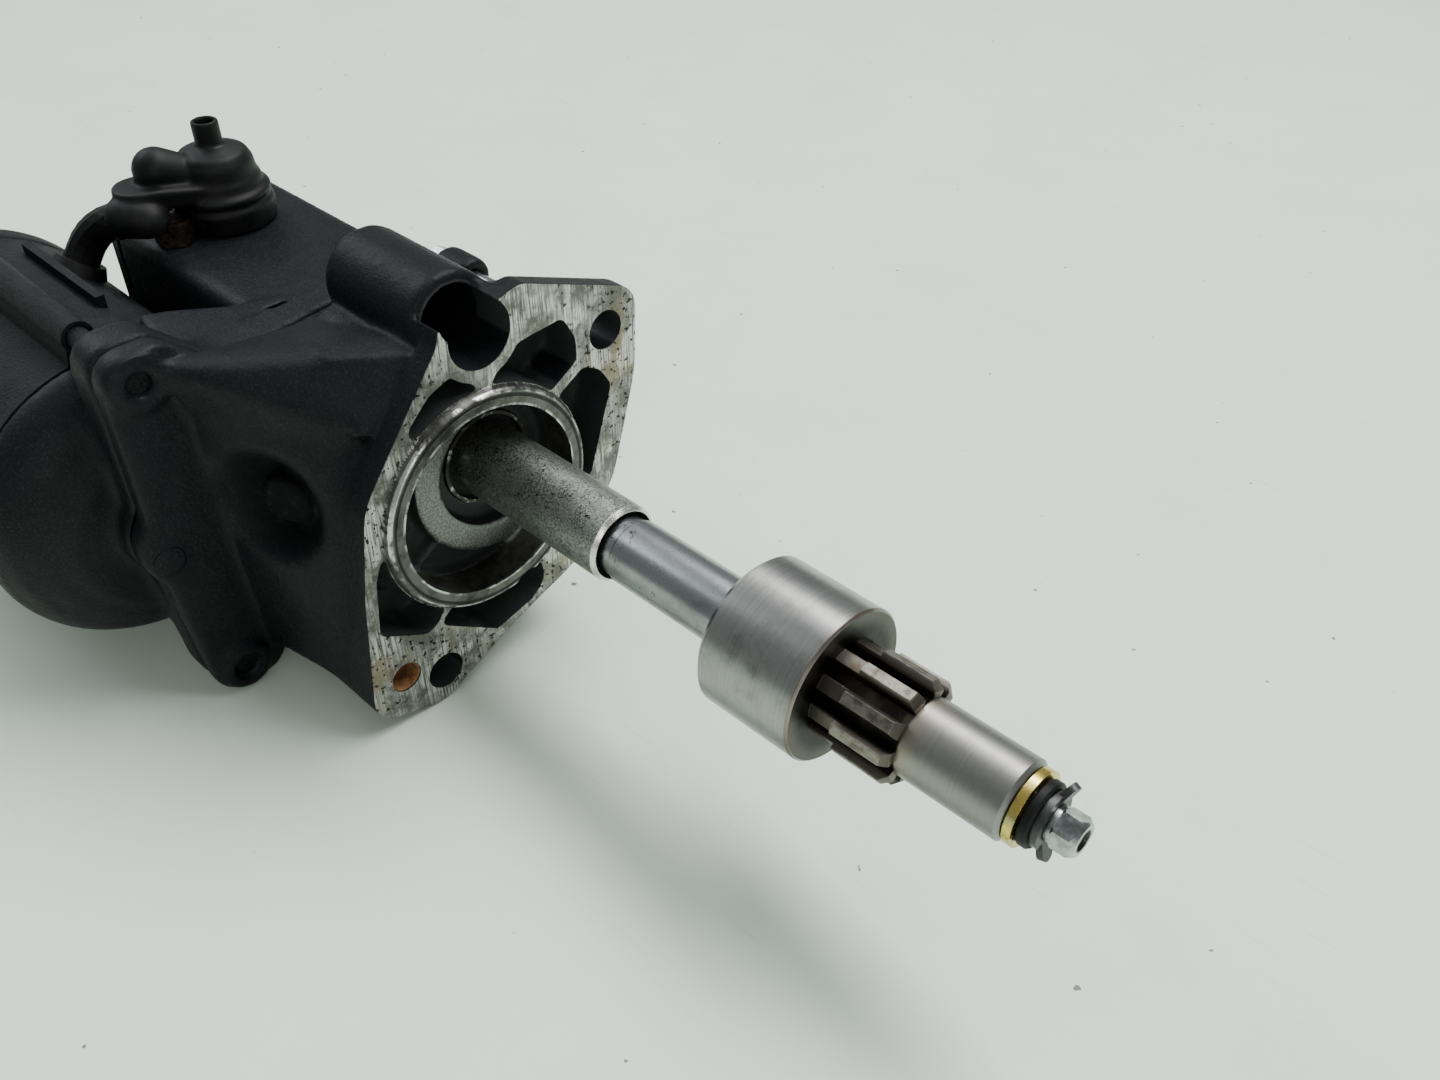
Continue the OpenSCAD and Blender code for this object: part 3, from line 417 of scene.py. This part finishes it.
def casting_look():
    """Satin black paint over a sand-cast skin; bare weathered aluminium where it was machined."""
    look = Look("casting_paint", shine=0.13)
    x = look.axis("X")
    ring_r = look.radius(PILOT.y, PILOT.z)
    face, ring, seat = bare_masks(look, x, ring_r)
    groove, rim_wear_and_highlight = ring_masks(look, x, ring_r)
    bare = look.either(face, ring, seat)
    streaks = look.noise(1.0, 5, 0.6, look.stretched((1, 1700, 70), math.radians(38)))
    # Painted shadow in the scoop: darkest near SCOOP, broken up by noise
    painted_scoop_shadow = look.both(look.step(look.distance(SCOOP), 17 * MM, 10 * MM),
                     look.step(look.noise(240, 3), 0.2, 0.5))
    metal = bare_metal(look, streaks, ring, seat, groove, rim_wear_and_highlight)
    look.colour(look.mix(bare, black_paint(look, x, ring_r, painted_scoop_shadow), metal))
    painted_rough = look.blend(painted_scoop_shadow, look.scale(look.noise(420, 3), 0.34, 0.58), 0.75)
    bare_rough = look.blend(rim_wear_and_highlight, look.scale(look.noise(260, 5), 0.26, 0.60), 0.2)
    look.rough(look.blend(bare, painted_rough, bare_rough))
    look.metal(look.blend(bare, 0.0, 0.85))
    skin = look.math("SUBTRACT", 1.0, look.either(face, ring))
    look.bump(look.noise(120, 4), 0.5 * MM, look.scale(skin, 0.0, 0.7))
    disc = look.step(look.radius(*EJECTOR_MARK), EJECTOR_MARK_R + 0.2 * MM, EJECTOR_MARK_R - 0.2 * MM)
    mark = look.both(disc, look.band(x, EAR_X - 2 * MM, EAR_X - 1.5 * MM, EAR_X + 0.5 * MM, EAR_X + 1 * MM))
    look.bump(mark, 0.7 * MM)
    look.bump(look.noise(1150, 3, 0.55), 0.13 * MM, look.scale(skin, 0.12, 1.0))
    look.bump(streaks, 0.06 * MM, look.scale(face, 0.0, 0.8))
    rings = look.noise(1.0, 3, 0.5, look.stretched((2600, 10, 10)))
    look.bump(rings, 0.03 * MM, look.scale(ring, 0.0, 0.6))
    look.bump(look.math("SUBTRACT", 1.0, groove), 0.25 * MM)
    return look.mat


def wrinkle_look():
    """Coarse black wrinkle paint on the motor."""
    look = Look("motor_paint", shine=0.15)
    cells = look.noise(1250, 4, 0.6)
    dust = look.both(look.step(look.facing("Z"), 0.1, 0.9), look.step(look.noise(140, 5), 0.3, 0.75))
    paint = look.mix(look.step(cells, 0.4, 0.65), (0.0034, 0.0038, 0.0050), (0.0125, 0.0135, 0.0158))
    look.colour(look.over(paint, (0.026, 0.027, 0.029), dust, 0.4))
    look.rough(look.scale(cells, 0.40, 0.66))
    look.bump(look.noise(110, 3), 0.3 * MM, 0.6)
    look.bump(cells, 0.60 * MM)
    return look.mat


def steel_look(name, dark, light, rough=(0.25, 0.42), lines=4200, depth=0.012, edge=0.25 * MM):
    """Turned steel: rings of tool marks round X, cloudy tone and a softened edge."""
    look = Look(name, metal=1.0, edge=edge)
    marks = look.noise(1.0, 6, 0.7, look.stretched((lines, 30, 30)))
    cloud = look.noise(110, 6, 0.65)
    look.colour(look.mix(look.scale(marks, 0.1, 0.9), look.mix(cloud, dark, light), light))
    look.rough(look.scale(look.math("MULTIPLY", marks, cloud), rough[0], rough[1] + 0.1))
    look.bump(marks, depth * MM, 0.6)
    return look


def sleeve_look():
    """Mottled grey-green steel, pitted and stained, with its front chamfer rubbed bright and painted shade in
    its bore.
    """
    look = Look("sleeve_steel", metal=1.0, edge=0.2 * MM)
    mottle = look.noise(1900, 5, 0.7)
    patches = look.noise(160, 6, 0.7)
    pits = look.step(look.noise(1300, 3, 0.6), 0.56, 0.63)
    tone = look.mix(look.step(mottle, 0.38, 0.62), (0.12, 0.133, 0.115), (0.46, 0.49, 0.445))
    tone = look.over(tone, (0.34, 0.355, 0.325), look.step(patches, 0.42, 0.68), 0.6)
    tone = look.over(tone, (0.025, 0.024, 0.02), look.both(pits, look.step(patches, 0.62, 0.42)))
    r = look.radius()
    worn = look.both(look.step(look.axis("X"), SLEEVE_FRONT_X - 1.5 * MM, SLEEVE_FRONT_X - 0.9 * MM),
                     look.step(r, SLEEVE_BORE_R + 0.05 * MM, SLEEVE_BORE_R + 0.25 * MM))
    # Painted shade: the sleeve's bore is set nearly black
    bore_painted_shade = look.step(r, SLEEVE_BORE_R, SLEEVE_BORE_R - 0.3 * MM)
    rubbed = look.over(tone, (0.74, 0.72, 0.66), worn)
    tone = look.over(tone, rubbed, look.scale(look.step(mottle, 0.3, 0.5), 0.4, 1.0))
    look.colour(look.over(tone, (0.02, 0.019, 0.017), bore_painted_shade))
    look.rough(look.blend(worn, look.scale(mottle, 0.30, 0.58), 0.25))
    look.bump(mottle, 0.05 * MM, 0.5)
    look.bump(pits, 0.05 * MM, 0.4)
    return look.mat


def jackshaft_look():
    """Ground bluish steel with a few pits, stains and grinding rings."""
    look = Look("jackshaft_steel", metal=1.0, edge=0.15 * MM)
    rings = look.noise(1.0, 5, 0.6, look.stretched((5200, 24, 24)))
    cloud = look.noise(90, 6, 0.7)
    pits = look.both(look.step(look.noise(520, 4, 0.6), 0.60, 0.66), look.step(look.noise(70, 3), 0.53, 0.6))
    tone = look.mix(look.scale(rings, 0.2, 0.8), (0.235, 0.245, 0.255), (0.40, 0.415, 0.43))
    tone = look.over(tone, (0.17, 0.175, 0.18), look.step(cloud, 0.45, 0.7), 0.8)
    look.colour(look.over(tone, (0.06, 0.055, 0.05), pits))
    look.rough(look.scale(cloud, 0.18, 0.40))
    look.bump(rings, 0.010 * MM, 0.6)
    return look.mat


def turned_steel(look, rings, coarse, cloud, on_journal):
    """The collar and the browner journal, with tool marks round them."""
    lines = look.blend(0.4, rings, coarse)
    steel = look.mix(look.scale(lines, -0.15, 1.15), (0.19, 0.191, 0.186), (0.43, 0.432, 0.42))
    steel = look.over(steel, (0.15, 0.142, 0.13), look.step(cloud, 0.48, 0.75), 0.7)
    return look.over(steel, (0.22, 0.211, 0.196), on_journal, 0.55)


def tooth_steel(look, r, cloud):
    """Painted shade between the teeth, stained on the flanks and worn brighter on the tips."""
    worn = look.both(look.step(r, TOOTH_TIP_R - 0.35 * MM, TOOTH_TIP_R),
                     look.step(look.noise(300, 5, 0.7), 0.36, 0.58))
    # Painted shade at the tooth roots: near black at the root, fading towards the tip
    depth = look.step(r, TOOTH_ROOT_R, TOOTH_TIP_R - 0.45 * MM)
    tooth = look.mix(depth, (0.018, 0.016, 0.014), (0.115, 0.103, 0.088))
    tooth = look.over(tooth, (0.085, 0.066, 0.048), look.step(cloud, 0.45, 0.7), 0.7)
    return look.over(tooth, (0.255, 0.235, 0.20), worn, 0.85)


def pinion_look():
    """Collar, teeth and journal turned from one bar: each band has its own wear, and the collar's front face
    and the tooth roots carry painted shade.
    """
    look = Look("pinion_steel", metal=1.0, edge=0.22 * MM)
    x, r = look.axis("X"), look.radius()
    rings = look.noise(1.0, 6, 0.7, look.stretched((3600, 26, 26)))
    coarse = look.noise(1.0, 3, 0.5, look.stretched((1300, 10, 10)))
    cloud = look.noise(100, 7, 0.7)
    on_journal = look.step(x, TEETH_END_X - 0.3 * MM, TEETH_END_X)
    in_teeth = look.band(x, COLLAR_FACE_X - 0.3 * MM, COLLAR_FACE_X + 0.1 * MM,
                         TEETH_END_X - 0.2 * MM, TEETH_END_X + 0.4 * MM)
    chamfer = look.band(x, COLLAR_FACE_X - 1.1 * MM, COLLAR_FACE_X - 0.5 * MM,
                        COLLAR_FACE_X - 0.4 * MM, COLLAR_FACE_X + 0.1 * MM)
    heat = look.band(x, TEETH_END_X - 0.2 * MM, TEETH_END_X, TEETH_END_X, TEETH_END_X + 7 * MM)
    tone = look.over(turned_steel(look, rings, coarse, cloud, on_journal), (0.34, 0.28, 0.22), heat, 0.6)
    tone = look.over(tone, (0.20, 0.15, 0.115), chamfer, 0.8)
    tone = look.over(tone, tooth_steel(look, r, cloud), in_teeth)
    front_face = look.both(look.band(x, COLLAR_FACE_X - 0.2 * MM, COLLAR_FACE_X - 0.05 * MM,
                                     COLLAR_FACE_X + 0.05 * MM, COLLAR_FACE_X + 0.2 * MM),
                           look.step(look.facing("X"), 0.7, 0.9))
    # Painted shade on the collar's front face: near black round the teeth, a little lighter outwards
    painted_face_shade = look.mix(look.step(r, 14 * MM, 18 * MM), (0.012, 0.011, 0.01), (0.085, 0.075, 0.065))
    look.colour(look.over(tone, painted_face_shade, front_face))
    turned_rough = look.blend(on_journal, look.scale(cloud, 0.21, 0.39), look.scale(cloud, 0.31, 0.49))
    look.rough(look.blend(in_teeth, turned_rough, look.scale(cloud, 0.32, 0.56)))
    look.bump(rings, 0.014 * MM, 0.6)
    tip = look.both(look.step(x, 143 * MM, 148 * MM), look.step(look.noise(60), 0.35, 0.6))
    look.bump(coarse, 0.06 * MM, look.scale(tip, 0.0, 0.8))
    look.bump(look.noise(420, 4), 0.12 * MM, look.scale(in_teeth, 0.0, 0.6))
    return look.mat


def rubber_look():
    """Matte black rubber with a faint bloom and moulding grain."""
    look = Look("rubber", shine=0.22)
    bloom = look.noise(150, 6, 0.7)
    look.colour(look.mix(look.step(bloom, 0.35, 0.75), (0.0030, 0.0030, 0.0034), (0.0085, 0.0085, 0.0092)))
    look.rough(look.scale(bloom, 0.42, 0.66))
    look.bump(look.noise(260, 4), 0.12 * MM, 0.5)
    look.bump(look.noise(2200, 2), 0.02 * MM, 0.5)
    return look.mat


def yellow_look():
    """Yellow-passivated zinc, drifting between straw, gold and a greenish rose."""
    look = Look("yellow_zinc", metal=1.0, edge=0.15 * MM)
    drift = look.noise(210, 4, 0.6)
    gold = look.mix(look.step(drift, 0.35, 0.6), (0.40, 0.36, 0.16), (0.74, 0.55, 0.13))
    look.colour(look.mix(look.step(drift, 0.6, 0.78), gold, (0.50, 0.31, 0.17)))
    look.rough(look.scale(look.noise(600, 3), 0.18, 0.34))
    look.bump(look.noise(1400, 3), 0.015 * MM, 0.5)
    return look.mat


def zinc_look():
    """Bright zinc plate, with painted shade in the bolt's hollow end."""
    look = Look("zinc_steel", metal=1.0, edge=0.2 * MM)
    cloud = look.noise(420, 5, 0.6)
    tone = look.mix(look.step(cloud, 0.3, 0.7), (0.22, 0.24, 0.235), (0.50, 0.53, 0.52))
    # Painted shade in the bolt's hollow end
    hollow_painted_shade = look.both(look.step(look.axis("X"), BOLT_HOLLOW_X, BOLT_HOLLOW_X + 0.3 * MM),
                       look.step(look.radius(), BOLT_HOLLOW_R, BOLT_HOLLOW_R - 0.3 * MM))
    look.colour(look.over(tone, (0.05, 0.05, 0.05), hollow_painted_shade))
    look.rough(look.scale(cloud, 0.14, 0.34))
    look.bump(look.noise(1700, 3), 0.02 * MM, 0.5)
    return look.mat


def plate_look():
    """Dark stamped steel."""
    look = Look("plate_steel", metal=0.8, edge=0.2 * MM)
    cloud = look.noise(380, 5, 0.65)
    look.colour(look.mix(cloud, (0.035, 0.035, 0.036), (0.10, 0.10, 0.102)))
    look.rough(look.scale(cloud, 0.32, 0.55))
    look.bump(look.noise(900, 3), 0.04 * MM, 0.5)
    return look.mat


def rust_look():
    """Red-brown rust all over."""
    look = Look("rusty_steel")
    cloud = look.noise(520, 7, 0.75)
    look.colour(look.mix(look.step(cloud, 0.35, 0.65), (0.10, 0.045, 0.018), (0.33, 0.16, 0.06)))
    look.rough(look.scale(cloud, 0.55, 0.85))
    look.bump(cloud, 0.12 * MM)
    return look.mat


def cloudy_look(name, dark, light, rough, metal=0.0, grain=700, depth=0.03):
    """Plain finish for a piece inside the housings."""
    look = Look(name, metal=metal)
    cloud = look.noise(grain, 5, 0.65)
    look.colour(look.mix(look.step(cloud, 0.3, 0.7), dark, light))
    look.rough(look.scale(cloud, rough - 0.08, rough + 0.1))
    look.bump(cloud, depth * MM, 0.6)
    return look.mat


def bearing_look():
    """Ground bearing steel under old grease, rubbed bright in spots that also serve as painted glints."""
    look = Look("bearing_steel", metal=1.0, edge=0.15 * MM)
    rub_and_glint = look.both(look.step(look.noise(380, 5, 0.7), 0.52, 0.60), look.step(look.noise(90, 3), 0.42, 0.56))
    # Bright spots: partly rubbed metal, partly painted glints
    look.colour(look.mix(rub_and_glint, (0.06, 0.056, 0.05), (0.66, 0.66, 0.64)))
    look.rough(look.scale(rub_and_glint, 0.5, 0.22))
    look.bump(look.noise(900, 3), 0.03 * MM, 0.5)
    return look.mat


def make_looks():
    """One material for each slot in the record."""
    return {
        "casting_paint": casting_look(),
        "motor_paint": wrinkle_look(),
        "sleeve_steel": sleeve_look(),
        "jackshaft_steel": jackshaft_look(),
        "pinion_steel": pinion_look(),
        "rubber": rubber_look(),
        "yellow_zinc": yellow_look(),
        "zinc_steel": zinc_look(),
        "plate_steel": plate_look(),
        "rusty_steel": rust_look(),
        "gear_steel": steel_look("gear_steel", (0.30, 0.30, 0.29), (0.50, 0.50, 0.48)).mat,
        "bearing_steel": bearing_look(),
        "spring_steel": steel_look("spring_steel", (0.22, 0.22, 0.23), (0.42, 0.42, 0.43), edge=0.0).mat,
        # Copper darkened nearly to black: partly tarnish, partly painted shadow under the boot
        "copper": cloudy_look("copper", (0.022, 0.018, 0.015), (0.10, 0.07, 0.052), 0.5, 1.0),
        "winding": cloudy_look("winding", (0.30, 0.11, 0.05), (0.55, 0.24, 0.11), 0.38, 0.6, 500, 0.08),
        "bronze": cloudy_look("bronze", (0.38, 0.24, 0.10), (0.62, 0.44, 0.22), 0.4, 1.0),
        "magnet_iron": cloudy_look("magnet_iron", (0.16, 0.16, 0.165), (0.33, 0.33, 0.34), 0.45, 0.9),
        "insulator": cloudy_look("insulator", (0.05, 0.03, 0.022), (0.11, 0.075, 0.06), 0.55),
        "carbon": cloudy_look("carbon", (0.035, 0.033, 0.031), (0.09, 0.085, 0.08), 0.6),
    }


def paint_all(looks):
    """Gives every CAD node the look of its slot."""
    slots = {s["node"]: s["material_slot"] for s in frame["record"]["subparts"]}
    for name, node in NODES.items():
        node.data.materials.clear()
        node.data.materials.append(looks[slots[name]])


# ---------- shapes ----------
def smooth(places, edges, weights, rounds):
    """Moves each point part of the way to the middle of its neighbours, a number of times."""
    a, b = edges[:, 0], edges[:, 1]
    count = len(places)
    shared = np.bincount(a, minlength=count) + np.bincount(b, minlength=count)
    shared = np.maximum(shared, 1)[:, None]
    for _ in range(rounds):
        total = np.empty_like(places)
        for k in range(3):
            total[:, k] = np.bincount(a, places[b, k], count) + np.bincount(b, places[a, k], count)
        places = places + 0.5 * weights[:, None] * (total / shared - places)
    return places


def read_places(mesh):
    flat = np.empty(len(mesh.vertices) * 3, np.float64)
    mesh.vertices.foreach_get("co", flat)
    return flat.reshape(-1, 3)


def remeshed(name, voxel, grow=None):
    """A copy of a CAD node's mesh made of even small faces."""
    mesh = NODES[name].data.copy()
    if grow:
        places = read_places(mesh)
        grow(places)
        mesh.vertices.foreach_set("co", places.ravel())
    piece = add_object(name + "_source", mesh)
    modifier = piece.modifiers.new("remesh", "REMESH")
    modifier.mode = "VOXEL"
    modifier.voxel_size = voxel
    ready = piece.evaluated_get(bpy.context.evaluated_depsgraph_get())
    out = bpy.data.meshes.new_from_object(ready)
    bpy.data.objects.remove(piece)
    return out


def finish_piece(name, mesh, node, slot, looks, body="root", crease=35):
    """Puts a softened mesh in place of its CAD node."""
    mesh.materials.clear()
    mesh.materials.append(looks[slot])
    mesh.shade_smooth()
    mesh.set_sharp_from_angle(angle=math.radians(crease))
    piece = add_object(name, mesh)
    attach(piece, body)
    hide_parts(node)


def soften(name, voxel, rounds, weigh=None, grow=None, trim=None, blend=None):
    """Remeshes a CAD node and rounds its edges as a mould would; blend marks what is rounded more."""
    mesh = remeshed(name, voxel, grow)
    places = read_places(mesh)
    edges = np.empty(len(mesh.edges) * 2, np.int32)
    mesh.edges.foreach_get("vertices", edges)
    weights = weigh(places) if weigh else np.ones(len(places))
    places = smooth(places, edges.reshape(-1, 2), weights, rounds)
    if blend:
        places = smooth(places, edges.reshape(-1, 2), blend(places), 5 * rounds)
    if trim:
        trim(places)
    low, high = (np.array(c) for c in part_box(name))
    np.clip(places, low, high, out=places)
    mesh.vertices.foreach_set("co", places.ravel())
    mesh.update()
    return mesh


def line_distance(places, y, z):
    return np.hypot(places[:, 1] - y, places[:, 2] - z)


def grow_face(places):
    """Adds machining stock to the mounting face and the pilot ring."""
    places[places[:, 0] > -0.01 * MM, 0] += STOCK


def weigh_drive(places):
    """Full rounding behind the flange, little near the machined features and the screw holes."""
    weights = np.ones(len(places))
    weights[places[:, 0] > -9 * MM] = 0.35
    ring = (places[:, 0] > 0.3 * MM) & (line_distance(places, PILOT.y, PILOT.z) < PILOT_R + 1.5 * MM)
    weights[ring] = 0.0
    weights[line_distance(places, 0, 0) < SEAT_OUTER + 1 * MM] = 0.12
    for y, z in EARS:
        near = (line_distance(places, y, z) < 5.2 * MM) & (places[:, 0] > EAR_X - 1 * MM)
        weights[near] = 0.15
    for name in ("mounting_hole_upper", "mounting_hole_lower", "locating_hole", "stud_clearance_bore"):
        mount = MOUNTS[name]
        near = line_distance(places, *mount["pos_m"][1:]) < mount["dims"]["r_mm"] * MM + 0.6 * MM
        weights[near] = 0.0
    return weights


def weigh_solenoid(places):
    """Full rounding but for the slot in the shelf."""
    from_slot = np.hypot(places[:, 0] - SLOT[0], places[:, 1] - SLOT[1])
    return np.where((from_slot < 5.5 * MM) & (places[:, 2] > SHELF_Z), 0.06, 1.0)


def blend_drive(places):
    """The slanted wall between the rear plate and the flange; the lug in its scoop stays crisp."""
    inside = (places[:, 0] > -44 * MM) & (places[:, 0] < -9 * MM) & (places[:, 1] < -36 * MM)
    from_lug = np.hypot(places[:, 0] - LUG_X, places[:, 2] - LUG_Z)
    return np.where(inside & (places[:, 2] > -46 * MM) & (from_lug > 10 * MM), 1.0, 0.0)


def trim_drive(places):
    """Machines the stock away again, which leaves a flat face, crisp edges and a turned ring."""
    r = line_distance(places, PILOT.y, PILOT.z)
    ring = r < PILOT_R + 0.35 * MM
    face = ~ring & (places[:, 0] > 0)
    places[face, 0] = 0
    places[:, 0] = np.minimum(places[:, 0], PILOT_TOP)
    wall = ring & (r > PILOT_R - 0.5 * MM) & (places[:, 0] > 0)
    target = PILOT_R - np.maximum(places[:, 0] - (PILOT_TOP - CHAMFER), 0)
    pull = np.where(wall, target / np.maximum(r, 1e-6), 1.0)
    places[:, 1] = PILOT.y + (places[:, 1] - PILOT.y) * pull
    places[:, 2] = PILOT.z + (places[:, 2] - PILOT.z) * pull


def make_castings(looks):
    drive = soften("drive_housing", 0.6 * MM, 26, weigh_drive, grow_face, trim_drive, blend_drive)
    finish_piece("drive_casting", drive, "drive_housing", "casting_paint", looks)
    rear = soften("solenoid_housing", 0.75 * MM, 22, weigh_solenoid)
    finish_piece("solenoid_casting", rear, "solenoid_housing", "casting_paint", looks)
    cover = soften("end_cover", 0.8 * MM, 10)
    finish_piece("end_cover_casting", cover, "end_cover", "motor_paint", looks)


def make_boot(looks):
    boot = soften("terminal_boot", 0.4 * MM, 14)
    finish_piece("boot_rubber", boot, "terminal_boot", "rubber", looks, crease=60)


add_camera()
add_stage()
LOOKS = make_looks()
paint_all(LOOKS)
make_castings(LOOKS)
make_boot(LOOKS)
